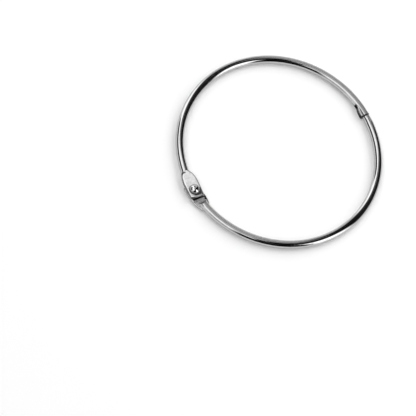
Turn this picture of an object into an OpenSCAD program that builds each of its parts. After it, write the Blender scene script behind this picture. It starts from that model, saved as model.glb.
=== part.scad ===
// Hinged loose-leaf ring: two bent wire halves, a riveted hinge and a snap clasp.
// The closed ring lies flat. The origin is the ring's centre on the surface it lies on,
// the hinge rivet stands at -X and the clasp is at +X.

/* [Ring] */
// Inside diameter of the closed ring
ring_inner_d = 76.2; // [50:0.1:102]
// Diameter of the steel wire
wire_d = 3.3; // [3:0.05:4]

/* [Hinge leaves] */
// Thickness of each pressed leaf
leaf_t = 1.25; // [0.9:0.05:1.35]
// Width of a leaf at its widest
leaf_w = 6.05; // [5:0.05:7.5]
// Width of a leaf where it grows out of the wire
leaf_neck_w = 3.65; // [3:0.05:4.5]
// How much each side of a leaf draws in towards its free end
leaf_end_in = 0.28; // [0.1:0.02:0.5]
// Distance from the rivet to the shoulder on a leaf's outer face
leaf_l = 8; // [7.2:0.1:11]
// Distance from the rivet to the widest place of a leaf
leaf_wide_at = 3; // [1:0.1:4]
// Length of a leaf past the rivet
leaf_past = 3.3; // [2.9:0.05:4]
// Radius of the convex free end of a leaf
leaf_end_r = 9; // [5:0.5:30]
// Radius about the rivet that rounds off the corners of the free end
leaf_corner_r = 3.95; // [3.6:0.05:5]
// How far the pressed sides of a leaf bulge past its flat faces
leaf_bulge = 0.33; // [0.1:0.01:0.5]
// Radius of the recess about the rivet that clears the other leaf's free end
seat_r = 5.5; // [5.1:0.05:6.5]
// Slope of the recess wall, from upright
seat_slope = 35; // [10:1:50]
// Slope of the step down to a leaf's outer face, from upright
shoulder_slope = 45; // [20:1:60]
// Radius in the root of every pressed step
press_fillet = 0.3; // [0.1:0.05:0.5]
// Gap between the leaves, and between the lower leaf and the rivet's tail
leaf_gap = 0.05; // [0.02:0.01:0.1]

/* [Rivet] */
// Diameter of the shank
shank_d = 2; // [1.6:0.1:2.4]
// Clearance around the shank in each leaf
shank_clear = 0.05; // [0.02:0.01:0.1]
// Diameter of the ball head
head_d = 4.3; // [3.4:0.1:5]
// Height of the ball head
head_h = 1.9; // [1:0.1:2.1]
// Diameter of the set tail
tail_d = 3.3; // [2.9:0.1:4]
// Height of the tail above the surface the ring lies on
tail_lift = 0.05; // [0.02:0.01:0.1]
// Diameter of the hollow in the tail
hollow_d = 1.1; // [0.6:0.1:1.3]
// Depth of the hollow in the tail
hollow_l = 1.6; // [0.6:0.1:2]

/* [Catch] */
// Length of the catch's slot along the ring
slot_l = 5.9; // [5.4:0.1:7.5]
// How far the catch reaches past the middle of the clasp
catch_past = 2.2; // [1.8:0.1:2.6]
// How far the flat of each cheek lies below the wire's round
press_d = 0.25; // [0.15:0.01:0.35]
// How far the cheeks stand out towards the inside of the ring
cheek_out = 0.45; // [0.2:0.05:0.8]
// Length of the cheeks at their full width
cheek_l = 2.2; // [1:0.1:3]
// Length over which the cheeks then run out into the wire
cheek_run = 3.8; // [2:0.1:6]
// Rounding of the cheeks' edges
cheek_round = 0.35; // [0.1:0.05:0.4]
// Thickness of the wall outside the slot
wall_t = 1.1; // [0.8:0.05:1.3]

/* [Latch] */
// Thickness of the tongue
tongue_t = 1.8; // [1.4:0.05:2]
// Width of the tongue across the ring
tongue_w = 2.1; // [1.5:0.05:2.3]
// Length of the tongue past its shoulder
tongue_l = 4.65; // [4.2:0.05:5]
// Clearance between the tongue and each face of the slot
tongue_clear = 0.1; // [0.05:0.01:0.15]
// Rounding of the tongue's nose
nose_r = 0.5; // [0.2:0.05:0.7]
// Gap between the end of the catch and the shoulder of the tongue
end_gap = 0.25; // [0.1:0.05:0.4]
// Distance between the two teeth
tooth_pitch = 2.2; // [1.6:0.1:2.4]
// Height of each tooth
tooth_h = 0.3; // [0.15:0.05:0.4]
// Width of each tooth at its foot
tooth_w = 0.8; // [0.5:0.05:1]
// Depth of the dent pressed behind each tooth
dent_d = 0.15; // [0.05:0.01:0.25]
// Radius by which the wire is drawn down behind the tongue
neck_step = 0.15; // [0.05:0.01:0.3]
// Length of the drawn-down neck
neck_l = 1.2; // [0.6:0.1:3]
// Length of the cone from the neck up to the wire
neck_run = 2; // [1:0.1:4]

/* [Hidden] */
$fn = 96;

ease_flats = 4;

wire_r = wire_d / 2;
ring_r = (ring_inner_d + wire_d) / 2;      // radius of the wire's centre line
beyond = 1;                           // how far a cutting tool reaches past what it cuts
step = 0.01;                          // ledge where two pressed faces would only just touch

// Hinge, in the frame of the rivet at mid-thickness
leaf_turn = asin(leaf_l / 2 / ring_r);    // turn of the straight leaf from the ring's tangent
leaf_low = leaf_gap / 2;                  // a leaf's inner face
leaf_top = leaf_low + leaf_t;             // a leaf's outer face
leaf_end_w = leaf_w - 2 * leaf_end_in;
hole_d = shank_d + 2 * shank_clear;
rim_r = ((leaf_t / 2) * (leaf_t / 2) + leaf_bulge * leaf_bulge) / (2 * leaf_bulge);
wire_az = 2 * asin((seat_r - beyond) / 2 / ring_r);    // where the wire ends inside the leaf
tail_top = -leaf_top - leaf_gap;
tail_low = tail_lift - wire_r;
dome_r = (head_d * head_d / 4 + head_h * head_h) / (2 * head_h);

// Clasp, with the teeth and notches centred where tongue and slot overlap
slot_t = tongue_t + 2 * tongue_clear;
slot_floor = wire_r - wall_t;             // from the wire's centre line, outwards
tongue_face = slot_floor - tongue_clear;
cheek_z = wire_r - press_d;
shoulder_at = -catch_past - end_gap;      // along the ring from the middle of the clasp
slot_end = slot_l - catch_past;
cheek_full = cheek_l - catch_past;        // where the cheeks start to run out
cheek_tip = wire_r + cheek_out;
cheek_foot = sqrt(wire_r * wire_r - cheek_z * cheek_z);    // where a cheek's flat meets the wire's round
run_turn = atan((cheek_tip - cheek_foot) / cheek_run);
teeth_at = (shoulder_at + tongue_l - catch_past) / 2;

function az(along) = along / ring_r * 180 / PI;    // arc length on the centre line to degrees

// Something drawn at the wire's centre, placed that far along the ring from the clasp's middle
module at_ring(along) rotate([0, 0, az(along)]) translate([ring_r, 0, 0]) children();

// A section drawn about the wire's centre, swept along the ring between two azimuths
module sweep(from, to) rotate([0, 0, from]) rotate_extrude(angle = to - from) translate([ring_r, 0]) children();

// The round's seam lies underneath, away from what is pressed
module wire_section(r) rotate(-90) circle(r);

module at_rivet() translate([-ring_r, 0, 0]) children();

// Section of a die that presses everything below z = 0 out to a sloping wall at radius r. The die's edge
// is eased by a few flats, from the level face round to the wall.
module die_section(r, slope, depth) {
    back = press_fillet / tan((90 + slope) / 2);
    ease = [for (i = [0:ease_flats]) let (turn = (90 - slope) * i / ease_flats)
        [r - back + press_fillet * sin(turn), press_fillet * (cos(turn) - 1)]];
    polygon(concat([[0, 0]], ease, [[r + depth * tan(slope), -depth], [0, -depth]]));
}

module die(r, slope, z) translate([0, 0, z]) rotate_extrude() die_section(r, slope, wire_d);

// A disc as thick as a leaf with the bulged rim that pressing leaves
module rimmed_disc(r) {
    rotate_extrude() intersection() {
        square([r, leaf_t]);
        union() {
            square([r - leaf_bulge, leaf_t]);
            translate([r - rim_r, leaf_t / 2]) circle(rim_r);
        }
    }
}

// One side of a leaf: an arc that is widest at leaf_wide_at and reaches width w at distance l from there
module leaf_arc(wide, w, l, side) {
    inset = (wide - w) / 2;
    r = (l * l + inset * inset) / (2 * inset);
    translate([side * (r - wide / 2), leaf_wide_at, 0]) rimmed_disc(r);
}

// The leaf's plan: its wire side runs out inside the wire, its free end is convex with eased corners
module leaf() {
    reach = leaf_l + leaf_w;
    slab = [2 * leaf_w, reach, leaf_t];
    intersection() {
        leaf_arc(leaf_w - 2 * step, leaf_neck_w, leaf_l - leaf_wide_at, 1);
        leaf_arc(leaf_w - 2 * step, leaf_neck_w, leaf_l - leaf_wide_at, -1);
        translate([-leaf_w, 0, 0]) cube(slab);
    }
    intersection() {
        leaf_arc(leaf_w, leaf_end_w, leaf_wide_at + leaf_past, 1);
        leaf_arc(leaf_w, leaf_end_w, leaf_wide_at + leaf_past, -1);
        translate([-leaf_w, leaf_wide_at - reach, 0]) cube(slab);
        translate([0, leaf_end_r - leaf_past, 0]) rimmed_disc(leaf_end_r);
        union() {
            rimmed_disc(leaf_corner_r);
            translate([-leaf_w, 0, 0]) cube(slab);
        }
    }
}

// Half a ring from azimuth from round to the hinge, with its leaf above mid-thickness
module hinged_wire(from) {
    difference() {
        union() {
            difference() {
                sweep(from, 180 - wire_az) wire_section(wire_r);
                at_rivet() die(seat_r, seat_slope, leaf_low);
                at_rivet() mirror([0, 0, 1]) die(leaf_l, shoulder_slope, -leaf_top);
            }
            at_rivet() rotate([0, 0, -leaf_turn]) translate([0, 0, leaf_low]) leaf();
        }
        at_rivet() cylinder(d = hole_d, h = 4 * wire_d, center = true);
    }
}

// A V that points outwards, standing on a base at x = 0, as a prism of height t
module v_prism(w, h, t) {
    linear_extrude(height = t, center = true)
        polygon([[-h, -w / 2], [0, -w / 2], [h, 0], [0, w / 2], [-h, w / 2]]);
}

module at_teeth() for (side = [-1, 1]) at_ring(teeth_at + side * tooth_pitch / 2) children();

// Section of the pressed catch before its slot is cut: from the wire's centre to the cheeks' edges
module cheek_section() {
    for (flip = [0, 1]) mirror([0, flip]) {
        translate([-cheek_tip + cheek_round, 0]) square([cheek_tip - cheek_round, cheek_z]);
        translate([-cheek_tip, 0]) square([cheek_tip, cheek_z - cheek_round]);
        translate([-cheek_tip + cheek_round, cheek_z - cheek_round]) circle(cheek_round);
    }
}

// The cheeks narrow along a slanting cut until they vanish in the wire's round
module cheeks() {
    difference() {
        sweep(az(-catch_past), az(cheek_full + cheek_run)) cheek_section();
        at_ring(cheek_full) translate([-cheek_tip, 0, 0]) rotate([0, 0, -run_turn])
            translate([-wire_d, 0, 0]) cube([2 * wire_d, 4 * cheek_run, 2 * wire_d], center = true);
    }
}

// The slot is open at the catch's end and towards the inside of the ring
module slot() {
    sweep(az(-catch_past - beyond), az(slot_end))
        translate([-wire_d, -slot_t / 2]) square([wire_d + slot_floor, slot_t]);
    at_teeth() translate([slot_floor, 0, 0]) v_prism(tooth_w, tooth_h, slot_t);
}

module catch_half() {
    color("silver") translate([0, 0, wire_r]) difference() {
        union() {
            hinged_wire(az(-catch_past));
            cheeks();
        }
        slot();
    }
}

// The tongue's plan: a strip along the ring with a rounded nose, its root let into the shoulder
module tongue() {
    root = shoulder_at - step;
    tip = shoulder_at + tongue_l;
    inner = tongue_face - tongue_w;
    difference() {
        union() {
            sweep(az(root), az(tip - nose_r))
                translate([inner, -tongue_t / 2]) square([tongue_w, tongue_t]);
            sweep(az(root), az(tip))
                translate([inner + nose_r, -tongue_t / 2]) square([tongue_w - 2 * nose_r, tongue_t]);
            at_ring(tip - nose_r) for (x = [inner + nose_r, tongue_face - nose_r])
                translate([x, 0, 0]) cylinder(r = nose_r, h = tongue_t, center = true);
            at_teeth() translate([tongue_face, 0, 0]) v_prism(tooth_w, tooth_h, tongue_t);
        }
        at_teeth() translate([inner, 0, 0]) v_prism(tooth_w, dent_d, 2 * tongue_t);
    }
}

// The wire behind the tongue, drawn down to a neck, in the frame that has this half at +Y
module neck() {
    neck_r = wire_r - neck_step;
    start = -shoulder_at;
    turn = az(neck_run) / 2;
    lap = wire_d * tan(turn);             // carries the straight cone past the tilted ends of the bent wire
    sweep(az(start), az(start + neck_l + neck_run)) wire_section(neck_r);
    rotate([0, 0, az(start + neck_l) + turn]) translate([ring_r * cos(turn), 0, 0]) rotate([-90, 0, 0])
        cylinder(r1 = neck_r - step, r2 = wire_r - step, h = neck_run + 2 * lap, center = true);
}

module latch_half() {
    color("silver") translate([0, 0, wire_r]) {
        rotate([180, 0, 0]) {
            hinged_wire(az(-shoulder_at + neck_l + neck_run));
            neck();
        }
        tongue();
    }
}

module rivet() {
    color("gainsboro") translate([0, 0, wire_r]) at_rivet() rotate_extrude() difference() {
        union() {
            intersection() {
                translate([0, leaf_top + head_h - dome_r]) circle(dome_r);
                translate([0, leaf_top]) square([head_d / 2, head_h]);
            }
            translate([0, tail_low]) square([shank_d / 2, leaf_top - tail_low]);
            translate([0, tail_low]) square([tail_d / 2 - (tail_top - tail_low) / 2, tail_top - tail_low]);
            translate([tail_d / 2 - (tail_top - tail_low) / 2, (tail_top + tail_low) / 2])
                circle((tail_top - tail_low) / 2);
        }
        translate([0, tail_low - beyond]) square([hollow_d / 2, hollow_l + beyond]);
    }
}

catch_half();
latch_half();
rivet();
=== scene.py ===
import math
import bmesh
import bpy
from mathutils import Matrix, Vector


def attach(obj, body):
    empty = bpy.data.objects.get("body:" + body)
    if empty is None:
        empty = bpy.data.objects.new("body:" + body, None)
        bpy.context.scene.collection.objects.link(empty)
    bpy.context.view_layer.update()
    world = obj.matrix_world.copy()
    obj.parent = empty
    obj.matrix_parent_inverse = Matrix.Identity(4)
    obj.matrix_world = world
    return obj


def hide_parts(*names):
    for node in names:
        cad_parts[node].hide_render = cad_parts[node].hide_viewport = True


# A loose-leaf ring: two pressed wire halves, a ball-headed hinge rivet and a snap clasp.
# Sizes are in millimetres here and become metres where the meshes are made.

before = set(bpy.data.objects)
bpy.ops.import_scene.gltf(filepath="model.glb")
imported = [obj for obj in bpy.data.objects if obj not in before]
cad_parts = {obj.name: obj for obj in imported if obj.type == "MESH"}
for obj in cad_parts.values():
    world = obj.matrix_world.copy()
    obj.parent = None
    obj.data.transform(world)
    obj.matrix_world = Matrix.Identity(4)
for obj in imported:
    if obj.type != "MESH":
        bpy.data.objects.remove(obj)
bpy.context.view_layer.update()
mm = 0.001
print("frame loaded")

ring = {
    "Ring Radius": 39.75,            # to the wire's centre
    "Wire Radius": 1.65,
    "Sides": 120,                    # vertices round the wire
}
ringRadius = ring["Ring Radius"]
wireRadius = ring["Wire Radius"]

# One straight leaf, from the rivet at 0 to the shoulder
leaf = {
    "Leaf Width": 6.05,
    "Leaf Neck Width": 3.65,
    "Leaf Widest At": 3.0,
    "Leaf Length": 8.0,
    "Leaf Past Rivet": 3.3,
    "Leaf End Inset": 0.28,
    "Leaf End Radius": 9.0,
    "Leaf Corner Radius": 3.95,
    "Leaf Corner Softness": 0.2,
    "Leaf Low": 0.025,
    "Leaf Top": 1.275,
    "Squeezed Half Height": 1.377,   # the flattened wire before the dies cut it off flat
    "Squeezed Drop": 0.35,           # how much lower it is at the neck
    "Seat Radius": 5.5,
    "Seat Slope": 35.0,
    "Shoulder Slope": 45.0,
    "Press Fillet": 0.3,
    "Press Edge": 0.12,
}

# The catch, measured from the middle of the clasp along the wire
catch = {
    "Catch Reach": 2.2,
    "Slot Length": 5.9,
    "Slot Half": 1.0,
    "Slot Lip": 0.06,
    "Slot Floor": 0.55,
    "Cheek Tip": 2.1,
    "Cheek Foot": 0.873,
    "Cheek Half": 1.4,
    "Cheek Run": 3.8,
    "Cheek Corner": 9.0,             # how square the cheeks' edges are
}

# The latch, measured the same way
latch = {
    "Shoulder": 2.45,
    "Tongue Length": 4.65,
    "Tongue Half": 0.9,
    "Tongue Outer": 0.45,
    "Tongue Inner": -1.65,
    "Tongue Corner": 8.0,
    "Tip Chamfer": 0.12,
    "Nose Radius": 0.5,
    "Neck Step": 0.15,
    "Neck Length": 1.2,
    "Neck Run": 2.0,
}

teeth = {
    "Tooth Pitch": 2.2,
    "Tooth Height": 0.3,
    "Tooth Half Width": 0.4,
    "Dent Depth": 0.15,
    "End Round": 0.14,               # broken edge on both cut ends
}

# Where one shape runs out into the next, from and to, along the wire from the rivet
blend = {
    "neckDips": (6.0, 8.0),
    "middleRises": (6.0, 12.0),
    "wireBends": (6.5, 9.5),
    "leafTurnsRound": (8.0, 12.0),
    "leafEnds": (8.4, 9.6),
    "slotFades": (5.0, 7.0),         # this one from the middle of the clasp
    "seatEnds": (-0.9, -0.1),        # past the seat's radius
    "upperFlank": (0.0, 0.28),       # above the leaf's low face
    "cutEnd": (0.12, 0.3),           # to either side of the cut
}

# Degrees from the wire's inner side that the slot's mouth takes, and the part of it that becomes the floor
mouth = {"half": 37.5, "floor": 7.5, "margin": 0.5}

shoulderTurn = 2 * math.asin(leaf["Leaf Length"] / 2 / ringRadius)
claspAt = leaf["Leaf Length"] + ringRadius * (math.pi - shoulderTurn)    # from the rivet along the wire
degree = math.pi / 180
stepGap = 0.0001                     # between the two stations that make a sharp step


# A value in a node tree: arithmetic on it adds Math nodes
class field:
    def __init__(self, tree, socket):
        self.tree = tree
        self.socket = socket

    def math(self, operation, *others):
        return mathNode(self.tree, operation, self, *others)

    def __add__(self, other):
        return self.math("ADD", other)

    def __sub__(self, other):
        return self.math("SUBTRACT", other)

    def __rsub__(self, other):
        return mathNode(self.tree, "SUBTRACT", other, self)

    def __mul__(self, other):
        return self.math("MULTIPLY", other)

    def __truediv__(self, other):
        return self.math("DIVIDE", other)

    def __rtruediv__(self, other):
        return mathNode(self.tree, "DIVIDE", other, self)

    def __pow__(self, other):
        return self.math("POWER", other)

    def __neg__(self):
        return self.math("MULTIPLY", -1.0)

    __radd__ = __add__
    __rmul__ = __mul__


def mathNode(tree, operation, *values):
    node = tree.nodes.new("ShaderNodeMath")
    node.operation = operation
    for place, value in enumerate(values):
        if isinstance(value, field):
            tree.links.new(value.socket, node.inputs[place])
        else:
            node.inputs[place].default_value = value
    return field(tree, node.outputs[0])


def sine(value):
    return value.math("SINE")


def cosine(value):
    return value.math("COSINE")


def root(value):
    return value.math("SQRT")


def size(value):
    return value.math("ABSOLUTE")


def least(one, other):
    return one.math("MINIMUM", other)


def most(one, other):
    return one.math("MAXIMUM", other)


def softLeast(one, other, reach):
    return one.math("SMOOTH_MIN", other, reach)


def softMost(one, other, reach):
    return one.math("SMOOTH_MAX", other, reach)


def below(one, other):
    return one.math("LESS_THAN", other)


def above(one, other):
    return one.math("GREATER_THAN", other)


# One at share 0, other at share 1
def choose(share, one, other):
    return (other - one) * share + one


# 0 up to low, 1 from high on, eased between; low and high are plain numbers
def smoothRamp(value, low, high):
    node = value.tree.nodes.new("ShaderNodeMapRange")
    node.interpolation_type = "SMOOTHSTEP"
    value.tree.links.new(value.socket, node.inputs["Value"])
    node.inputs["From Min"].default_value = low
    node.inputs["From Max"].default_value = high
    return field(value.tree, node.outputs["Result"])


# The same the other way round
def fade(value, low, high):
    return 1.0 - smoothRamp(value, low, high)


def newTree(name, inputs):
    tree = bpy.data.node_groups.new(name, "GeometryNodeTree")
    tree.interface.new_socket(name="Geometry", in_out="INPUT", socket_type="NodeSocketGeometry")
    kinds = {bool: "NodeSocketBool", int: "NodeSocketInt", float: "NodeSocketFloat"}
    for label, value in inputs.items():
        kind = kinds.get(type(value), "NodeSocketMaterial")
        socket = tree.interface.new_socket(name=label, in_out="INPUT", socket_type=kind)
        if kind != "NodeSocketMaterial":
            socket.default_value = value
    tree.interface.new_socket(name="Geometry", in_out="OUTPUT", socket_type="NodeSocketGeometry")
    return tree


def xyz(tree, x, y, z):
    node = tree.nodes.new("ShaderNodeCombineXYZ")
    for place, value in enumerate((x, y, z)):
        tree.links.new(value.socket, node.inputs[place])
    return node.outputs[0]


def store(tree, mesh, name, kind, value):
    node = tree.nodes.new("GeometryNodeStoreNamedAttribute")
    node.data_type = kind
    node.inputs["Name"].default_value = name
    tree.links.new(mesh, node.inputs["Geometry"])
    tree.links.new(value, node.inputs["Value"])
    return node.outputs["Geometry"]


# The pressed wire: a chain of stations is swept with a round, squeezed into a leaf at the hinge end,
# cut flat by the two dies, shaped into catch or latch at the other, and bent round the ring.
def buildPressedWire(inputs):
    tree = newTree("pressedWire", inputs)
    add = tree.nodes.new
    link = tree.links.new
    given = add("NodeGroupInput")

    def get(label):
        return field(tree, given.outputs[label])

    def named(name):
        node = add("GeometryNodeInputNamedAttribute")
        node.data_type = "FLOAT"
        node.inputs["Name"].default_value = name
        return field(tree, node.outputs["Attribute"])

    chain = add("GeometryNodeMeshToCurve")
    link(given.outputs["Geometry"], chain.inputs["Mesh"])
    rim = add("GeometryNodeCurvePrimitiveCircle")
    link(given.outputs["Sides"], rim.inputs["Resolution"])
    rim.inputs["Radius"].default_value = mm
    index = add("GeometryNodeInputIndex")
    around = field(tree, index.outputs[0]) / get("Sides")
    rimKept = store(tree, rim.outputs["Curve"], "around", "FLOAT", around.socket)
    swept = add("GeometryNodeCurveToMesh")
    link(chain.outputs["Curve"], swept.inputs["Curve"])
    link(rimKept, swept.inputs["Profile Curve"])

    station = named("station")
    close = named("close")
    turn = (named("around") + 0.5 / get("Sides")) * 360.0 - 180.0    # degrees from the wire's inner side
    turnSize = size(turn)
    turnSide = turn.math("SIGN")
    past = claspAt - station    # distance to the middle of the clasp
    isCatch = get("Catch End")
    isLatch = 1.0 - isCatch

    # Plan of the leaf: half width at each station, or reach from the rivet at each turn of the free end
    fan = most(-station, 0.0) * (math.pi / 2)
    along = most(station, 0.0)
    leafHalf = get("Leaf Width") / 2.0
    widestRun = 7.5    # the leaf's sides are arcs up to here
    fromWide = least(along - get("Leaf Widest At"), widestRun)
    endRun = get("Leaf Widest At") + get("Leaf Past Rivet")
    freeRadius = (endRun * endRun + get("Leaf End Inset") ** 2.0) / (2.0 * get("Leaf End Inset"))
    neckInset = (get("Leaf Width") - get("Leaf Neck Width")) / 2.0
    neckRun = get("Leaf Length") - get("Leaf Widest At")
    neckRadius = (neckRun * neckRun + neckInset * neckInset) / (2.0 * neckInset)
    sideRadius = choose(above(fromWide, 0.0), freeRadius, neckRadius)
    halfWidth = leafHalf - (sideRadius - root(sideRadius * sideRadius - fromWide * fromWide))
    pinHalf = leafHalf - get("Leaf Widest At") ** 2.0 / (2.0 * freeRadius)
    lean = get("Leaf Past Rivet") / freeRadius
    reachSide = pinHalf / (cosine(fan) + lean * sine(fan) + 0.0001)    # never divided by zero
    endRadius = get("Leaf End Radius")
    endCentre = endRadius - get("Leaf Past Rivet")
    endAcross = endCentre * sine(fan)
    reachEnd = root(endAcross ** 2.0 + endRadius ** 2.0 - endCentre * endCentre) - endAcross
    reach = softLeast(reachSide, reachEnd, get("Leaf Corner Softness"))
    reach = softLeast(reach, get("Leaf Corner Radius"), get("Leaf Corner Softness"))
    width = choose(above(fan, 0.0), halfWidth, reach)

    # Directions round the section, crowded where the leaf's rims and the cheeks' edges are
    cheekLoss = most(past, 0.0) * (get("Cheek Tip") - get("Cheek Foot")) / get("Cheek Run")
    tip = most(get("Cheek Tip") - cheekLoss, get("Cheek Foot"))
    flank = root(get("Wire Radius") ** 2.0 - get("Slot Half") ** 2.0)
    mouthX = most(tip * isCatch, flank)
    lipTurn = (get("Slot Half") + get("Slot Lip")).math("ARCTAN2", mouthX) * (180 / math.pi)
    lipTurn = choose(smoothRamp(past, *blend["slotFades"]), lipTurn, mouth["half"])
    inMouth = below(turnSize, mouth["half"] - mouth["margin"])
    outside = lipTurn + (turnSize - mouth["half"]) * (180.0 - lipTurn) / (180.0 - mouth["half"])
    spread = choose(inMouth, outside, turnSize * lipTurn / mouth["half"]) * degree
    centreZ = (get("Leaf Low") + get("Leaf Top")) / 2.0 * fade(along, *blend["middleRises"])
    toRound = smoothRamp(along, *blend["leafTurnsRound"])
    wideX = choose(toRound, most(width, get("Wire Radius")), get("Wire Radius"))
    wideZ = choose(toRound, get("Squeezed Half Height"), get("Wire Radius"))
    neckDrop = smoothRamp(along, *blend["neckDips"]) * get("Squeezed Drop")
    halfHeight = get("Squeezed Half Height") - neckDrop
    dirX = -cosine(spread) * wideX
    dirZ = sine(spread) * turnSide * wideZ
    dirSize = root(dirX * dirX + dirZ * dirZ)
    dirX = dirX / dirSize
    dirZ = dirZ / dirSize

    # How far the surface is along each direction: wire, leaf and cheeks joined
    cone = (past - get("Shoulder") - get("Neck Length")) / get("Neck Run")
    necked = get("Neck Step") * (1.0 - least(most(cone, 0.0), 1.0)) * isLatch
    endAt = choose(isLatch, -get("Catch Reach"), get("Shoulder"))
    endIn = least(most((endAt + get("End Round") - past) / get("End Round"), 0.0), 1.0)
    endCut = get("End Round") * (1.0 - root(1.0 - endIn * endIn))
    radius = get("Wire Radius") - necked
    toWire = root(most((centreZ * dirZ) ** 2.0 - centreZ ** 2.0 + radius ** 2.0, 0.0)) - centreZ * dirZ
    leafSize = root((dirX / width) ** 2.0 + (dirZ / halfHeight) ** 2.0)
    toLeaf = fade(along, *blend["leafEnds"]) / leafSize
    # past the seat only the upper flank is wide, so that the halves can open without touching
    fromSeat = root(along * along + (toLeaf * dirX) ** 2.0) - get("Seat Radius")
    pastSeat = smoothRamp(fromSeat, *blend["seatEnds"])
    upperFlank = smoothRamp(centreZ + toLeaf * dirZ - get("Leaf Low"), *blend["upperFlank"])
    toLeaf = toLeaf * (1.0 - pastSeat * (1.0 - upperFlank))
    square = get("Cheek Corner")
    toCheek = ((size(dirX) / tip) ** square + (size(dirZ) / get("Cheek Half")) ** square) ** (-1.0 / square)
    cheekStop = get("Cheek Run") - 0.05    # the cheeks go a little further than the slot
    toCheek = toCheek * below(dirX, 0.0) * isCatch * below(past, cheekStop)
    leafJoin = 0.25
    cheekJoin = 0.05
    far = softMost(softMost(toWire, toLeaf, leafJoin), toCheek, cheekJoin) - endCut
    across = far * dirX
    height = centreZ + far * dirZ

    # The dies
    fromPin = root(along * along + across * across)
    shoulderRun = (fromPin - get("Leaf Length")) / (get("Shoulder Slope") * degree).math("TANGENT")
    topRise = softMost(shoulderRun, 0.0, get("Press Fillet"))
    seatRun = (fromPin - get("Seat Radius")) / (get("Seat Slope") * degree).math("TANGENT")
    lowDrop = softMost(seatRun, 0.0, get("Press Fillet"))
    pressed = softLeast(height, get("Leaf Top") + topRise, get("Press Edge"))
    pressed = softMost(pressed, get("Leaf Low") - lowDrop, get("Press Edge"))
    markGain = 6.0    # full mark from a sixth of a mm on
    pressMark = least(size(height - pressed) * markGain, 1.0)
    rimGap = width * root(1.0 - ((get("Leaf Top") - centreZ) / halfHeight) ** 2.0) - size(across)

    # Slot in the catch, open at its end and towards the inside of the ring
    def toothAt(depth):
        near = least(size(past - get("Tooth Pitch") / 2.0), size(past + get("Tooth Pitch") / 2.0))
        return most(1.0 - near / get("Tooth Half Width"), 0.0) * depth

    slotFloor = get("Slot Floor") + toothAt(get("Tooth Height"))
    depthShare = least((mouth["half"] - turnSize) / (mouth["half"] - mouth["floor"]), 1.0)
    lipIn = 0.05    # the slot's walls start just under the surface
    slotX = choose(depthShare, lipIn - mouthX + endCut, slotFloor)
    slotZ = least(turnSize / mouth["floor"], 1.0) * get("Slot Half") * turnSide
    inSlot = inMouth * isCatch * below(past, get("Slot Length") - get("Catch Reach") - stepGap / 2)
    across = choose(inSlot, across, slotX)
    pressed = choose(inSlot, pressed, slotZ)

    # Tongue of the latch, with its teeth outwards and a dent behind each
    toTip = past - get("Shoulder") + get("Tongue Length")
    nose = most(get("Nose Radius") - toTip, 0.0)
    noseIn = get("Nose Radius") - root(most(get("Nose Radius") ** 2.0 - nose * nose, 0.0))
    outer = get("Tongue Outer") + toothAt(get("Tooth Height")) - noseIn
    inner = get("Tongue Inner") + toothAt(get("Dent Depth")) + noseIn
    tongueTurn = turn * degree
    corner = get("Tongue Corner")
    toSquare = (size(cosine(tongueTurn)) ** corner + size(sine(tongueTurn)) ** corner) ** (-1.0 / corner)
    tongueX = (outer + inner) / 2.0 - (outer - inner) / 2.0 * toSquare * cosine(tongueTurn)
    tongueHalf = get("Tongue Half") - most(get("Tip Chamfer") - toTip, 0.0)
    tongueZ = tongueHalf * toSquare * sine(tongueTurn)
    onTongue = isLatch * below(past, get("Shoulder") - stepGap / 2)
    across = choose(onTongue, across, tongueX)
    pressed = choose(onTongue, pressed, tongueZ) * (1.0 - close)

    # Bend: straight through the leaf, then round the ring
    straightU = along - size(across) * sine(fan)
    straightV = across * cosine(fan)
    chord = shoulderTurn / 2
    chordX = straightU * math.sin(chord) - straightV * math.cos(chord) - get("Ring Radius")
    chordY = straightU * math.cos(chord) + straightV * math.sin(chord)
    azimuth = past / get("Ring Radius")
    arcX = (get("Ring Radius") + across) * cosine(azimuth)
    arcY = (get("Ring Radius") + across) * sine(azimuth)
    bent = smoothRamp(along, *blend["wireBends"])
    over = 1.0 - 2.0 * get("Turned Over")
    placeX = choose(bent, chordX, arcX) * mm
    placeY = choose(bent, chordY, arcY) * over * mm
    placeZ = (pressed * over + get("Wire Radius")) * mm

    # What the plating reads: the place on the straight blank, how each spot was worked, and where the clasp
    # is given painted shade
    tongueShade = 0.4    # the tongue gets less painted shade than the slot
    cutEnd = most(endIn, fade(size(past - endAt), *blend["cutEnd"]))
    claspShade = most(most(inSlot, cutEnd), onTongue * tongueShade)
    blank = xyz(tree, straightU, straightV, pressed)
    marked = store(tree, swept.outputs["Mesh"], "blank", "FLOAT_VECTOR", blank)
    for name, mark in (("pressMark", pressMark), ("rimGap", rimGap), ("claspShade", claspShade)):
        marked = store(tree, marked, name, "FLOAT", mark.socket)

    moved = add("GeometryNodeSetPosition")
    link(marked, moved.inputs["Geometry"])
    link(xyz(tree, placeX, placeY, placeZ), moved.inputs["Position"])
    merged = add("GeometryNodeMergeByDistance")
    merged.inputs["Distance"].default_value = 0.002 * mm    # closes the seam round the wire
    link(moved.outputs["Geometry"], merged.inputs["Geometry"])
    real = add("GeometryNodeRealizeInstances")
    link(merged.outputs["Geometry"], real.inputs["Geometry"])
    plated = add("GeometryNodeSetMaterial")
    link(real.outputs["Geometry"], plated.inputs["Geometry"])
    link(given.outputs["Plating"], plated.inputs["Material"])
    out = add("NodeGroupOutput")
    link(plated.outputs["Geometry"], out.inputs["Geometry"])
    return tree


def steps(first, last, spacing):
    count = max(1, round(abs(last - first) / spacing))
    return [first + (last - first) * i / count for i in range(count)]


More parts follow.
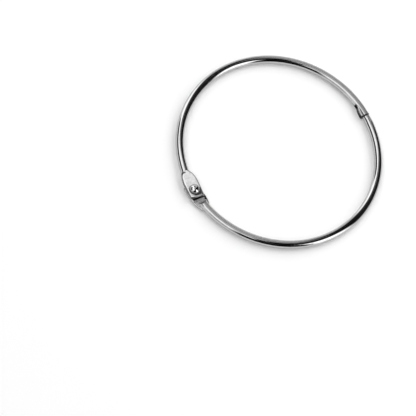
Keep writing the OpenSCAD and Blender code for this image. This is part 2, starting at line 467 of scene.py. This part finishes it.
# Stations from the leaf's free end to the cut end, close together wherever the section changes.
# Along the leaf each stretch is given as how far it goes and its spacing.
stations = {
    "freeEndRows": 36,               # in the fan round the free end
    "leaf": ((5.2, 0.16), (7.2, 0.07), (9.0, 0.06), (12.0, 0.25)),
    "wire": 0.8,                     # spacing, as the next three
    "catch": 0.11,
    "latch": 0.12,
    "tongue": 0.1,
    "endRows": 6,
    "noseRows": 10,
    "toothRows": 4,                  # on each flank of a tooth
    "claspFrom": 7.0,                # to the middle of the clasp, as the next three
    "teethFrom": 1.5,                # the teeth set the rows from here to the next two
    "catchTeethTo": -1.6,
    "latchTeethTo": -1.55,
    "pastSlotEnd": 0.02,             # first row after the step
    "pastShoulder": 0.05,
}


def hingeStations():
    rows = stations["freeEndRows"]
    line = [-math.cos(i * math.pi / 2 / rows) for i in range(rows)]
    start = 0
    for end, spacing in stations["leaf"]:
        line += steps(start, end, spacing)
        start = end
    return line + steps(start, claspAt - stations["claspFrom"], stations["wire"])


def endRounding(endAt):
    count = stations["endRows"]
    return [endAt + teeth["End Round"] * (1 - math.sin(i * math.pi / 2 / count)) for i in range(count)]


def toothMarks():
    pitch = teeth["Tooth Pitch"] / 2
    half = teeth["Tooth Half Width"]
    rows = stations["toothRows"]
    marks = []
    for middle in (pitch, -pitch):
        for i in range(rows, -rows - 1, -1):
            marks.append(middle + half * i / rows)
    return marks


def catchStations():
    slotEnd = catch["Slot Length"] - catch["Catch Reach"]
    start = -catch["Catch Reach"]
    spacing = stations["catch"]
    past = steps(stations["claspFrom"], slotEnd, spacing)
    past += [slotEnd, slotEnd - stepGap]
    past += steps(slotEnd - stations["pastSlotEnd"], stations["teethFrom"], spacing) + toothMarks()
    past += steps(stations["catchTeethTo"], start + teeth["End Round"], spacing)
    past += endRounding(start) + [start]
    return past


def latchStations():
    shoulder = latch["Shoulder"]
    tipAt = shoulder - latch["Tongue Length"]
    nose = latch["Nose Radius"]
    spacing = stations["latch"]
    rows = stations["noseRows"]
    past = steps(stations["claspFrom"], shoulder + teeth["End Round"], spacing)
    past += endRounding(shoulder) + [shoulder, shoulder - stepGap]
    past += steps(shoulder - stations["pastShoulder"], stations["teethFrom"], spacing) + toothMarks()
    past += steps(stations["latchTeethTo"], tipAt + nose, stations["tongue"])
    past += [tipAt + nose * (1 - math.sin(i * math.pi / 2 / rows)) for i in range(rows + 1)] + [tipAt]
    return past


def stationChain(name, past, closed):
    line = hingeStations() + [claspAt - p for p in past]
    count = len(line)
    mesh = bpy.data.meshes.new(name)
    mesh.from_pydata([(i * mm, 0, 0) for i in range(count)], [(i, i + 1) for i in range(count - 1)], [])
    where = mesh.attributes.new("station", "FLOAT", "POINT")
    where.data.foreach_set("value", line)
    shut = mesh.attributes.new("close", "FLOAT", "POINT")
    shut.data.foreach_set("value", [0.0] * (count - 1) + [1.0 if closed else 0.0])
    chain = bpy.data.objects.new(name, mesh)
    bpy.context.scene.collection.objects.link(chain)
    return chain


def runTree(chain, tree, values):
    modifier = chain.modifiers.new("press", "NODES")
    modifier.node_group = tree
    for item in tree.interface.items_tree:
        if item.item_type == "SOCKET" and item.in_out == "INPUT" and item.name in values:
            modifier[item.identifier] = values[item.name]
    seen = chain.evaluated_get(bpy.context.evaluated_depsgraph_get())
    mesh = bpy.data.meshes.new_from_object(seen)
    chain.modifiers.clear()
    old = chain.data
    chain.data = mesh
    bpy.data.meshes.remove(old)
    return chain


# The rivet's hole, and the shares of its radius up to which points go and up to which they are drawn to it
hole = {"radius": 1.05, "inside": 0.999, "reach": 1.6}

# Merging distances, and the sharpest edge that is still shaded smooth, in degrees
mending = {"sameSpot": 0.001, "noEdge": 0.0005, "wireAngle": 75, "rivetAngle": 50}


# Opens both faces of the leaf and joins the two rims
def cutHole(bm):
    pin = Vector((-ringRadius * mm, 0, 0))
    radius = hole["radius"] * mm

    def fromPin(vertex):
        return Vector((vertex.co.x, vertex.co.y, 0)) - pin

    inside = [v for v in bm.verts if fromPin(v).length < radius * hole["inside"]]
    bmesh.ops.delete(bm, geom=inside, context="VERTS")
    rim = [e for e in bm.edges if e.is_boundary and
           max(fromPin(v).length for v in e.verts) < radius * hole["reach"]]
    for v in {v for e in rim for v in e.verts}:
        flat = fromPin(v).normalized() * hole["radius"] * mm
        v.co.x = pin.x + flat.x
        v.co.y = pin.y + flat.y
    bmesh.ops.bridge_loops(bm, edges=rim)


def finishMesh(piece, sharpAngle, hasHole):
    bm = bmesh.new()
    bm.from_mesh(piece.data)
    bmesh.ops.remove_doubles(bm, verts=bm.verts, dist=mending["sameSpot"] * mm)
    if hasHole:
        cutHole(bm)
    openEdges = [e for e in bm.edges if e.is_boundary]
    if openEdges:
        made = bmesh.ops.holes_fill(bm, edges=openEdges, sides=0)
        bmesh.ops.triangulate(bm, faces=made["faces"])
    bmesh.ops.dissolve_degenerate(bm, edges=bm.edges, dist=mending["noEdge"] * mm)
    bmesh.ops.recalc_face_normals(bm, faces=bm.faces)
    for f in bm.faces:
        f.smooth = True
    stray = [e for e in bm.edges if not e.is_manifold]
    print(piece.name, "faces", len(bm.faces), "edges not closed", len(stray),
          "volume mm3", round(bm.calc_volume() * 1e9, 1))
    bm.to_mesh(piece.data)
    bm.free()
    piece.data.set_sharp_from_angle(angle=math.radians(sharpAngle))


# Plating. Both metals share one skin: cloudy patches, hair scratches and pin-sized specks.
skinLook = {
    "cloud": (0.32, 0.68),
    "hairStretch": (1.0, 0.35, 0.7),
    "hair": (0.004, 0.016),          # half width of a scratch, in the noise's own measure
    "hairPatches": (0.5, 0.62),
    "speck": (0.03, 0.07),
    "speckShare": 0.8,               # cells without a speck
}


def vectorNode(tree, operation, one, other):
    node = tree.nodes.new("ShaderNodeVectorMath")
    node.operation = operation
    tree.links.new(one, node.inputs[0])
    if isinstance(other, field):
        tree.links.new(other.socket, node.inputs["Scale"])
    else:
        node.inputs[1].default_value = other
    return node.outputs["Vector"]


def noiseNode(tree, place, scale, detail):
    node = tree.nodes.new("ShaderNodeTexNoise")
    tree.links.new(place, node.inputs["Vector"])
    node.inputs["Scale"].default_value = scale
    node.inputs["Detail"].default_value = detail
    return field(tree, node.outputs["Fac"])


# Noise drawn out by a factor for each direction
def grain(tree, place, stretch, detail):
    return noiseNode(tree, vectorNode(tree, "MULTIPLY", place, stretch), 1.0, detail)


def platedSkin():
    group = bpy.data.node_groups.new("platedSkin", "ShaderNodeTree")
    group.interface.new_socket(name="Place", in_out="INPUT", socket_type="NodeSocketVector")
    for label in ("Cloud Size", "Scratch Size", "Speck Size"):
        group.interface.new_socket(name=label, in_out="INPUT", socket_type="NodeSocketFloat")
    for label in ("Cloud", "Scratch", "Speck"):
        group.interface.new_socket(name=label, in_out="OUTPUT", socket_type="NodeSocketFloat")
    given = group.nodes.new("NodeGroupInput")
    out = group.nodes.new("NodeGroupOutput")

    def scaled(label):
        return vectorNode(group, "SCALE", given.outputs["Place"], 1.0 / field(group, given.outputs[label]))

    cloud = smoothRamp(noiseNode(group, scaled("Cloud Size"), 1.0, 3.0), *skinLook["cloud"])
    hairs = grain(group, scaled("Scratch Size"), skinLook["hairStretch"], 1.0)
    sparse = smoothRamp(noiseNode(group, scaled("Scratch Size"), 0.4, 2.0), *skinLook["hairPatches"])
    scratch = fade(size(hairs - 0.5), *skinLook["hair"]) * sparse
    cells = group.nodes.new("ShaderNodeTexVoronoi")
    group.links.new(scaled("Speck Size"), cells.inputs["Vector"])
    cells.inputs["Scale"].default_value = 0.1
    chosen = group.nodes.new("ShaderNodeSeparateColor")
    group.links.new(cells.outputs["Color"], chosen.inputs["Color"])
    speck = fade(field(group, cells.outputs["Distance"]), *skinLook["speck"])
    speck = speck * above(field(group, chosen.outputs["Red"]), skinLook["speckShare"])
    for label, value in (("Cloud", cloud), ("Scratch", scratch), ("Speck", speck)):
        group.links.new(value.socket, out.inputs[label])
    return group


def metal(name):
    material = bpy.data.materials.new(name)
    material.use_nodes = True
    return material, material.node_tree


def skinOn(tree, place, finish):
    node = tree.nodes.new("ShaderNodeGroup")
    node.node_tree = skin
    tree.links.new(place, node.inputs["Place"])
    for label in ("Cloud Size", "Scratch Size", "Speck Size"):
        node.inputs[label].default_value = finish[label]
    return [field(tree, node.outputs[label]) for label in ("Cloud", "Scratch", "Speck")]


# Object coordinates in millimetres from a point that is given in millimetres
def millimetres(tree, origin):
    where = tree.nodes.new("ShaderNodeTexCoord")
    scaled = tree.nodes.new("ShaderNodeMapping")
    scaled.inputs["Scale"].default_value = (1000, 1000, 1000)
    scaled.inputs["Location"].default_value = [-v for v in origin]
    tree.links.new(where.outputs["Object"], scaled.inputs["Vector"])
    return scaled.outputs["Vector"]


def parts(tree, vector):
    node = tree.nodes.new("ShaderNodeSeparateXYZ")
    tree.links.new(vector, node.inputs[0])
    return [field(tree, node.outputs[i]) for i in range(3)]


def attribute(tree, name, output):
    node = tree.nodes.new("ShaderNodeAttribute")
    node.attribute_name = name
    return node.outputs[output]


def plug(tree, tone, metallic, roughness, height):
    shader = tree.nodes["Principled BSDF"]
    bump = tree.nodes.new("ShaderNodeBump")
    bump.inputs["Distance"].default_value = mm
    tree.links.new(tone.socket, shader.inputs["Base Color"])
    tree.links.new(metallic.socket, shader.inputs["Metallic"])
    tree.links.new(roughness.socket, shader.inputs["Roughness"])
    tree.links.new(height.socket, bump.inputs["Height"])
    tree.links.new(bump.outputs["Normal"], shader.inputs["Normal"])


# Tones and roughness of each kind of surface. A pair is where an effect runs in or out, in mm: leaf and side
# from the rivet, upper, flank and the end face's top up from the wire's middle, the others as noted.
wireFinish = {
    "bright": 0.5,
    "frosted": 0.9,
    "frostedMetal": 0.3,
    "rubbed": 0.7,
    # painted shade: dark tone of the upper flanks of the leaf's sides
    "side": 0.18,
    # painted shade in the slot, on the tongue and at the cut ends
    "shadedClasp": 0.16,
    # painted shade on the low part of the end face, on the seat along the other leaf's end and in the crease
    "crease": 0.04,
    # painted shade of the ball on the leaf, mottled
    "ballShade": 0.09,
    # painted highlight on the leaf's rim
    "rimHighlight": 1.0,
    "ridgeShade": 0.62,              # these two darken what lies under them
    "seatRimShade": 0.3,
    "brightRoughness": 0.045,
    "frostedRoughness": 0.5,
    "rubbedRoughness": 0.3,
    "shadedClaspRoughness": 0.4,
    "leafRun": (8.4, 9.2),
    "upperRun": (0.5, 0.9),
    "sideRun": (7.0, 8.4),
    "flankRun": (0.35, 0.75),
    "outerRun": (-0.3, 0.9),         # across, towards the outside of the ring
    "ridgeRun": (0.2, 0.55),         # in from the leaf's rim
    "ridgeOut": 0.15,                # how much wider it is on the outside
    "seatRimRun": (0.1, 0.4),        # the same
    "endRun": (2.2, 2.8),            # past the rivet, where the bright ridge goes all round
    "endFaceRun": (2.6, 3.0),        # past the rivet
    "endFaceTop": (0.75, 1.05),
    "restShadowRun": (0.15, 0.4),        # to either side of the line where the other leaf ends
    "restShadowGap": 0.15,
    "restShadowOut": 0.1,
    "creaseAt": 7.85,                # foot of the shoulder
    "creaseRun": (0.1, 0.34),        # to either side of it
    "creaseSide": (0.0, 0.5),        # across, on the outer half only
    "ballShadeWay": (-0.8, -0.6),        # along and across, towards the corner of the leaf where the ball's painted shade lies
    "ballShadeRun": (0.7, 1.5),          # that way from the rivet
    "ballShadeRagged": 2.0,              # how far its edge wanders
    "blotRun": (0.35, 0.65),         # share of the blots' noise, as the next
    "ballShadeBlotRun": (0.5, 0.75),
    "blotGrain": (1.6, 1.6, 1.6),    # each grain's marks to the millimetre: along, across, up
    "ringGrain": (5.0, 0.6, 1.0),    # this one out from the rivet and round it
    "streakGrain": (0.12, 7.0, 7.0),
    "waverGrain": (0.16, 0.3, 0.3),
    "toneMarks": {                   # how much each mark changes the tone
        "cloud": 0.03,
        "frostedCloud": 0.14,
        "frostedBlots": 0.1,
        "rings": 1.1,
        "rubbedBlots": 0.25,
        "ballShadeBlots": 0.3,
        "shadedClaspCloud": 0.1,
        "speck": 0.35,
        "scratch": 0.12,
    },
    "roughMarks": {                  # and the roughness
        "streaks": 0.03,
        "cloud": 0.015,
        "frostedCloud": 0.1,
        "rings": 0.15,
        "scratch": 0.12,
        "speck": 0.2,
    },
    "relief": {                      # height or depth of each, in mm
        "waver": 0.012,
        "streaks": 0.0006,
        "scratch": 0.0015,
        "speck": 0.004,
        "cloud": 0.012,
        "rings": 0.01,
    },
    "Cloud Size": 1.1,
    "Scratch Size": 2.4,
    "Speck Size": 0.9,
}


# Bright drawn wire, frosted where the upper die struck it, rubbed in rings on the face that turns
# against the other leaf, rougher and with painted shade in the slot and on the sheared ends, and with
# painted shade and a painted highlight on the leaf
def wireNickel():
    look = wireFinish
    material, tree = metal("wireNickel")
    cloud, scratch, speck = skinOn(tree, millimetres(tree, (0, 0, 0)), look)
    blank = attribute(tree, "blank", "Vector")
    along, across, height = parts(tree, blank)
    struck = field(tree, attribute(tree, "pressMark", "Fac"))
    rimGap = field(tree, attribute(tree, "rimGap", "Fac"))
    shadedClasp = field(tree, attribute(tree, "claspShade", "Fac"))
    fromPin = root(along * along + across * across)
    onLeaf = fade(fromPin, *look["leafRun"])
    outer = smoothRamp(across, *look["outerRun"])

    # Faces that the dies made, and the sides that they left
    upper = smoothRamp(height, *look["upperRun"])
    face = struck * upper
    frosted = face * onLeaf
    rubbed = struck * (1.0 - upper)
    # Painted shade on the upper flanks of the sides that the dies left
    side = (1.0 - struck) * fade(fromPin, *look["sideRun"]) * smoothRamp(height, *look["flankRun"])

    # Rims: painted shade on the leaf's rim and round the seat, and a painted highlight along the outside and
    # the end
    ridge = fade(rimGap - outer * look["ridgeOut"], *look["ridgeRun"]) * face * onLeaf
    seatRim = fade(rimGap, *look["seatRimRun"]) * rubbed
    rimHighlight = ridge * most(outer, smoothRamp(-along, *look["endRun"]))

    # Painted shade: on the low part of the end face, on the seat along the other leaf's end, in the crease,
    # and, mottled, round the ball
    endFace = (1.0 - struck) * smoothRamp(-along, *look["endFaceRun"]) * fade(height, *look["endFaceTop"])
    restLine = along + across * math.tan(shoulderTurn) - leaf["Leaf Past Rivet"] - look["restShadowGap"]
    restShadow = fade(size(restLine) - outer * look["restShadowOut"], *look["restShadowRun"]) * rubbed
    crease = fade(size(fromPin - look["creaseAt"]), *look["creaseRun"]) * upper
    crease = crease * smoothRamp(across, *look["creaseSide"])
    blots = grain(tree, blank, look["blotGrain"], 2.0)
    speckled = smoothRamp(blots, *look["blotRun"])
    # Painted shade of the ball, mottled, on the leaf beside it towards one corner
    dirtyWay = along * look["ballShadeWay"][0] + across * look["ballShadeWay"][1]
    ragged = (blots - 0.5) * look["ballShadeRagged"]
    ballShade = smoothRamp(dirtyWay + ragged, *look["ballShadeRun"]) * face * onLeaf

    # Turning marks on the seat and drawing marks on the wire
    polar = xyz(tree, fromPin, across.math("ARCTAN2", along), height * 0.0)
    rings = grain(tree, polar, look["ringGrain"], 3.0)
    streaks = grain(tree, blank, look["streakGrain"], 2.0)

    marks = look["toneMarks"]
    drawnTone = look["bright"] - cloud * marks["cloud"]
    frostedTone = look["frosted"] - cloud * marks["frostedCloud"] - speckled * marks["frostedBlots"]
    rubbedTone = look["rubbed"] + (rings - 0.5) * marks["rings"] - speckled * marks["rubbedBlots"]
    ballShadeTone = look["ballShade"] + smoothRamp(blots, *look["ballShadeBlotRun"]) * marks["ballShadeBlots"]
    tone = choose(frosted, drawnTone, frostedTone)
    tone = choose(side, tone, look["side"])
    tone = choose(rubbed, tone, rubbedTone)
    tone = choose(seatRim, tone, tone * look["seatRimShade"])
    tone = choose(most(endFace, restShadow), tone, look["crease"])
    tone = choose(ridge, tone, tone * look["ridgeShade"])
    tone = choose(ballShade, tone, ballShadeTone)
    tone = choose(rimHighlight, tone, look["rimHighlight"])
    tone = choose(crease, tone, look["crease"])
    # Painted shade in the slot, on the tongue and at the cut ends, where the surface is also rougher
    tone = choose(shadedClasp, tone, look["shadedClasp"] - cloud * marks["shadedClaspCloud"])
    tone = tone * (1.0 - speck * marks["speck"] - scratch * marks["scratch"])
    satin = 1.0 - look["frostedMetal"] * (1.0 - rimHighlight)
    metallic = 1.0 - frosted * satin * (1.0 - ballShade)

    marks = look["roughMarks"]
    roughness = look["brightRoughness"] + streaks * marks["streaks"] + cloud * marks["cloud"]
    roughness = choose(frosted, roughness, look["frostedRoughness"] - cloud * marks["frostedCloud"])
    roughness = choose(rubbed, roughness, look["rubbedRoughness"] + rings * marks["rings"])
    roughness = choose(shadedClasp, roughness, look["shadedClaspRoughness"])
    roughness = roughness + scratch * marks["scratch"] + speck * marks["speck"]

    deep = look["relief"]
    waver = grain(tree, blank, look["waverGrain"], 0.0)
    relief = waver * deep["waver"] + streaks * deep["streaks"]
    relief = relief - scratch * deep["scratch"] - speck * deep["speck"]
    relief = relief + (frosted + rubbed) * cloud * deep["cloud"] + rubbed * rings * deep["rings"]
    plug(tree, tone, metallic, roughness, relief)
    return material


rivetFinish = {
    "bright": 0.62,
    # painted shade at the ball's foot
    "foot": 0.04,
    "tail": 0.5,
    "brightRoughness": 0.04,
    "tailRoughness": 0.3,
    "footRun": (1.45, 1.95),         # out from the rivet's axis
    "footTop": (1.9, 2.6),           # up from the wire's middle, as the next two
    "footLow": (0.0, 0.5),
    "tailRun": (-1.3, -1.1),
    "footSide": (0.99, 0.1),         # direction in plan in which the painted shade stands further out and up
    "footOut": 0.5,
    "footUp": 0.6,
    "footLoss": 0.9,                 # how much less metallic the painted shade is
    "turnedGrain": (9.0, 3.0, 1.0),  # marks to the millimetre: out, up
    "toneMarks": {"cloud": 0.04, "tailCloud": 0.1, "speck": 0.3},
    "roughMarks": {"cloud": 0.02, "scratch": 0.08, "foot": 0.35, "turned": 0.1},
    "relief": {"cloud": 0.002, "turned": 0.01, "scratch": 0.001, "speck": 0.003},
    "Cloud Size": 0.9,
    "Scratch Size": 1.6,
    "Speck Size": 0.6,
}


# Polished ball with painted shade at its foot, reaching further out and up on one side, and turned rings on
# the rolled tail
def rivetNickel():
    look = rivetFinish
    material, tree = metal("rivetNickel")
    place = millimetres(tree, (-ringRadius, 0, wireRadius))
    cloud, scratch, speck = skinOn(tree, place, look)
    x, y, z = parts(tree, place)
    away = root(x * x + y * y)
    # Painted shade round the ball's foot, further out and up on one side
    lean = most((x * look["footSide"][0] + y * look["footSide"][1]) / most(away, 0.1), 0.0)
    foot = smoothRamp(away + lean * look["footOut"], *look["footRun"])
    foot = foot * fade(z - lean * look["footUp"], *look["footTop"]) * smoothRamp(z, *look["footLow"])
    tail = fade(z, *look["tailRun"])
    turned = grain(tree, xyz(tree, away, z, x * 0.0), look["turnedGrain"], 2.0)
    marks = look["toneMarks"]
    tone = choose(foot, look["bright"] - cloud * marks["cloud"], look["foot"])
    tone = choose(tail, tone, look["tail"] - cloud * marks["tailCloud"]) * (1.0 - speck * marks["speck"])
    marks = look["roughMarks"]
    roughness = look["brightRoughness"] + cloud * marks["cloud"] + scratch * marks["scratch"]
    roughness = roughness + foot * marks["foot"]
    roughness = choose(tail, roughness, look["tailRoughness"] + turned * marks["turned"])
    deep = look["relief"]
    relief = cloud * deep["cloud"] + tail * turned * deep["turned"]
    relief = relief - scratch * deep["scratch"] - speck * deep["speck"]
    plug(tree, tone, 1.0 - foot * look["footLoss"], roughness, relief)
    return material


skin = platedSkin()
wirePlating = wireNickel()
rivetPlating = rivetNickel()
print("plating mixed")

inputs = {**ring, **leaf, **catch, **latch, **teeth}
inputs.update({"Catch End": False, "Turned Over": False, "Plating": None})
pressedWire = buildPressedWire(inputs)
print("tree built")


def wireHalf(name, past, isCatch):
    half = stationChain(name, past, closed=not isCatch)
    values = {**inputs, "Catch End": isCatch, "Turned Over": not isCatch, "Plating": wirePlating}
    runTree(half, pressedWire, values)
    finishMesh(half, mending["wireAngle"], True)
    return half


catchWire = wireHalf("catch_wire", catchStations(), True)
latchWire = wireHalf("latch_wire", latchStations(), False)
print("wire halves pressed")

# The rivet, turned round its axis; heights from the wire's middle
rivet = {
    "shank": 1.0,
    "headRadius": 2.15,
    "headHeight": 1.9,
    "headAt": 1.275,
    "headRows": 40,
    "tailRadius": 1.65,
    "tailTop": -1.325,
    "tailLow": -1.6,
    "tailRows": 10,
    "hollowRadius": 0.55,
    "hollowDepth": 1.6,
    "hollowEdge": 0.05,
    "turns": 96,
}


# Top, outline as radius and height from the ball's crown to the hollow's end, bottom
def rivetOutline():
    r = rivet
    dome = (r["headRadius"] ** 2 + r["headHeight"] ** 2) / (2 * r["headHeight"])
    centre = r["headAt"] + r["headHeight"] - dome
    low = math.asin((r["headAt"] - centre) / dome)
    points = []
    for i in range(1, r["headRows"] + 1):
        angle = math.pi / 2 + (low - math.pi / 2) * i / r["headRows"]
        points.append((dome * math.cos(angle), centre + dome * math.sin(angle)))
    points += [(r["shank"], r["headAt"]), (r["shank"], r["tailTop"])]
    half = (r["tailTop"] - r["tailLow"]) / 2
    for i in range(r["tailRows"] + 1):
        angle = math.pi / 2 - math.pi * i / r["tailRows"]
        out = r["tailRadius"] - half + half * math.cos(angle)
        points.append((out, r["tailLow"] + half + half * math.sin(angle)))
    hollow = r["hollowRadius"]
    edge = r["hollowEdge"]
    bottom = r["tailLow"] + r["hollowDepth"]
    points += [(hollow + edge, r["tailLow"]), (hollow, r["tailLow"] + edge), (hollow, bottom)]
    return centre + dome, points, bottom


def turnRivet():
    top, points, bottom = rivetOutline()
    turns = rivet["turns"]
    bm = bmesh.new()
    loops = []
    for radius, height in points:
        loop = []
        for i in range(turns):
            angle = 2 * math.pi * i / turns
            x = -ringRadius + radius * math.cos(angle)
            loop.append(bm.verts.new((x * mm, radius * math.sin(angle) * mm, (height + wireRadius) * mm)))
        loops.append(loop)
    for one, other in zip(loops, loops[1:]):
        for i in range(turns):
            j = (i + 1) % turns
            bm.faces.new((one[i], other[i], other[j], one[j]))
    for loop, height in ((loops[0], top), (loops[-1], bottom)):
        pole = bm.verts.new((-ringRadius * mm, 0, (height + wireRadius) * mm))
        for i in range(turns):
            bm.faces.new((pole, loop[i], loop[(i + 1) % turns]))
    mesh = bpy.data.meshes.new("hinge_rivet")
    bm.to_mesh(mesh)
    bm.free()
    piece = bpy.data.objects.new("hinge_rivet", mesh)
    bpy.context.scene.collection.objects.link(piece)
    mesh.materials.append(rivetPlating)
    finishMesh(piece, mending["rivetAngle"], False)
    return piece


hingeRivet = turnRivet()
print("rivet turned")

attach(catchWire, "catch_side")
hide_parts("catch_half")
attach(latchWire, "latch_side")
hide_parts("latch_half")
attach(hingeRivet, "catch_side")
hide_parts("rivet")

# Floor: white paper, which keeps the object's shadow. Half its side in metres.
floorLook = {"half": 1.5, "paper": 0.9, "lift": 0.09}


# 1 for the rays that show the background: camera, mirror and glass
def shownRays(tree):
    path = tree.nodes.new("ShaderNodeLightPath")
    camera = field(tree, path.outputs["Is Camera Ray"])
    glossy = field(tree, path.outputs["Is Glossy Ray"])
    through = field(tree, path.outputs["Is Transmission Ray"])
    return least(camera + glossy + through, 1.0)


def makeFloor():
    half = floorLook["half"]
    mesh = bpy.data.meshes.new("floor")
    corners = [(-half, -half, 0), (half, -half, 0), (half, half, 0), (-half, half, 0)]
    mesh.from_pydata(corners, [], [(0, 1, 2, 3)])
    floor = bpy.data.objects.new("floor", mesh)
    bpy.context.scene.collection.objects.link(floor)
    material = bpy.data.materials.new("paper")
    material.use_nodes = True
    tree = material.node_tree
    paper = tree.nodes["Principled BSDF"]
    paper.inputs["Base Color"].default_value = (floorLook["paper"],) * 3 + (1,)
    paper.inputs["Roughness"].default_value = 1.0
    paper.inputs["Specular IOR Level"].default_value = 0.0
    paper.inputs["Emission Color"].default_value = (1, 1, 1, 1)
    lift = shownRays(tree) * floorLook["lift"]
    tree.links.new(lift.socket, paper.inputs["Emission Strength"])
    mesh.materials.append(material)


makeFloor()

# Studio round the object: soft panels and dark gaps, each (azimuth, elevation, half width, half height,
# soft edge, brightness), a later one over an earlier
studio = {
    "plain": 0.66,
    "panels": {
        "overhead": (140, 53, 116, 16, 5, 1.8),
        "lowWest": (170, 18, 15, 24, 11, 1.2),
        "ceilingGap": (20, 49, 62, 17, 4, 0.0),
        "eastHaze": (342, 16, 38, 29, 7, 0.6),
        "eastFlag": (336, 11, 46, 35, 14, 0.0),
        "northPanel": (98, 15, 20, 36, 9, 2.0),
        "northEastPanel": (32, 43, 15, 7, 6, 1.1),
        "northWestFlag": (138, 11, 33, 28, 6, 0.0),
        "southWestFlag": (254, 19, 42, 38, 13, 0.0),
        "southPanel": (294, 30, 16, 55, 10, 2.4),
        "crown": (46, 79, 14, 17, 8, 0.8),
        "southCeiling": (305, 68, 68, 13, 5, 0.0),
        "horizon": (0, 0, 190, 7, 2, 1.0),     # all round, so that the floor runs out into white
    },
    # a key lamp that gives the shadow a side; glossy rays miss it, so the bright metal has no hot spot
    "key": {"azimuth": 8, "elevation": 42, "distance": 1.0, "size": 1.1, "power": 7.4},
}
panelSizes = ("Azimuth", "Elevation", "Half Width", "Half Height", "Soft Edge", "Brightness")


def panelGroup():
    group = bpy.data.node_groups.new("softPanel", "ShaderNodeTree")
    for label in ("Level", "Direction Azimuth", "Direction Elevation") + panelSizes:
        group.interface.new_socket(name=label, in_out="INPUT", socket_type="NodeSocketFloat")
    group.interface.new_socket(name="Level", in_out="OUTPUT", socket_type="NodeSocketFloat")
    given = group.nodes.new("NodeGroupInput")
    out = group.nodes.new("NodeGroupOutput")

    def get(label):
        return field(group, given.outputs[label])

    # half a turn and two whole ones, so that the difference comes out between -180 and 180
    apart = (get("Direction Azimuth") - get("Azimuth") + 900.0).math("FLOORED_MODULO", 360.0) - 180.0
    rise = get("Direction Elevation") - get("Elevation")
    wide = (get("Half Width") - size(apart)) / get("Soft Edge") + 0.5
    tall = (get("Half Height") - size(rise)) / get("Soft Edge") + 0.5
    clamped = [least(most(v, 0.0), 1.0) for v in (wide, tall)]
    eased = [v * v * (3.0 - 2.0 * v) for v in clamped]
    level = choose(eased[0] * eased[1], get("Level"), get("Brightness"))
    group.links.new(level.socket, out.inputs["Level"])
    return group


def makeWorld():
    world = bpy.data.worlds.new("studio")
    bpy.context.scene.world = world
    world.use_nodes = True
    tree = world.node_tree
    background = tree.nodes["Background"]
    where = tree.nodes.new("ShaderNodeTexCoord")
    x, y, z = parts(tree, where.outputs["Generated"])
    azimuth = y.math("ARCTAN2", x) * (180 / math.pi)
    elevation = z.math("ARCSINE") * (180 / math.pi)
    group = panelGroup()
    level = None
    for name, values in studio["panels"].items():
        node = tree.nodes.new("ShaderNodeGroup")
        node.node_tree = group
        node.name = name
        if level is None:
            node.inputs["Level"].default_value = studio["plain"]
        else:
            tree.links.new(level, node.inputs["Level"])
        tree.links.new(azimuth.socket, node.inputs["Direction Azimuth"])
        tree.links.new(elevation.socket, node.inputs["Direction Elevation"])
        for label, value in zip(panelSizes, values):
            node.inputs[label].default_value = value
        level = node.outputs["Level"]
    tree.links.new(level, background.inputs["Strength"])
    background.inputs["Color"].default_value = (1, 1, 1, 1)


# Unit vector from the object towards an azimuth and elevation in radians
def wayTo(azimuth, elevation):
    level = math.cos(elevation)
    return Vector((level * math.cos(azimuth), level * math.sin(azimuth), math.sin(elevation)))


def makeKeyLamp():
    key = studio["key"]
    way = wayTo(math.radians(key["azimuth"]), math.radians(key["elevation"]))
    data = bpy.data.lights.new("keyLamp", "AREA")
    data.energy = key["power"]
    data.size = key["size"]
    lamp = bpy.data.objects.new("keyLamp", data)
    lamp.location = way * key["distance"]
    lamp.rotation_euler = way.to_track_quat("Z", "Y").to_euler()
    lamp.visible_glossy = False
    bpy.context.scene.collection.objects.link(lamp)


makeWorld()
makeKeyLamp()

# Camera: focus in pixels of the frame's width, the rest in degrees and millimetres, clipping in metres
view = {
    "azimuth": -145.59,
    "elevation": 63.56,
    "roll": 27.1,
    "distance": 800.0,
    "focus": 2094.0,
    "target": (-38.46, -8.54, 1.65),
    "frameWidth": 416,
    "sensor": 36.0,
    "near": 0.01,
    "far": 20,
}


def placeCamera():
    azimuth, elevation, roll = (math.radians(view[k]) for k in ("azimuth", "elevation", "roll"))
    back = wayTo(azimuth, elevation)
    level = (-back).cross(Vector((0, 0, 1))).normalized()
    upright = level.cross(-back)
    right = math.cos(roll) * level + math.sin(roll) * upright
    up = -math.sin(roll) * level + math.cos(roll) * upright
    data = bpy.data.cameras.new("camera")
    data.sensor_width = view["sensor"]
    data.lens = view["focus"] / view["frameWidth"] * view["sensor"]
    data.clip_start = view["near"]
    data.clip_end = view["far"]
    camera = bpy.data.objects.new("camera", data)
    place = (Vector(view["target"]) + back * view["distance"]) * mm
    turn = Matrix((right, up, back)).transposed().to_4x4()
    camera.matrix_world = Matrix.Translation(place) @ turn
    bpy.context.scene.collection.objects.link(camera)
    bpy.context.scene.camera = camera


placeCamera()

bpy.context.scene.view_settings.view_transform = "Standard"
print("stage and camera set")
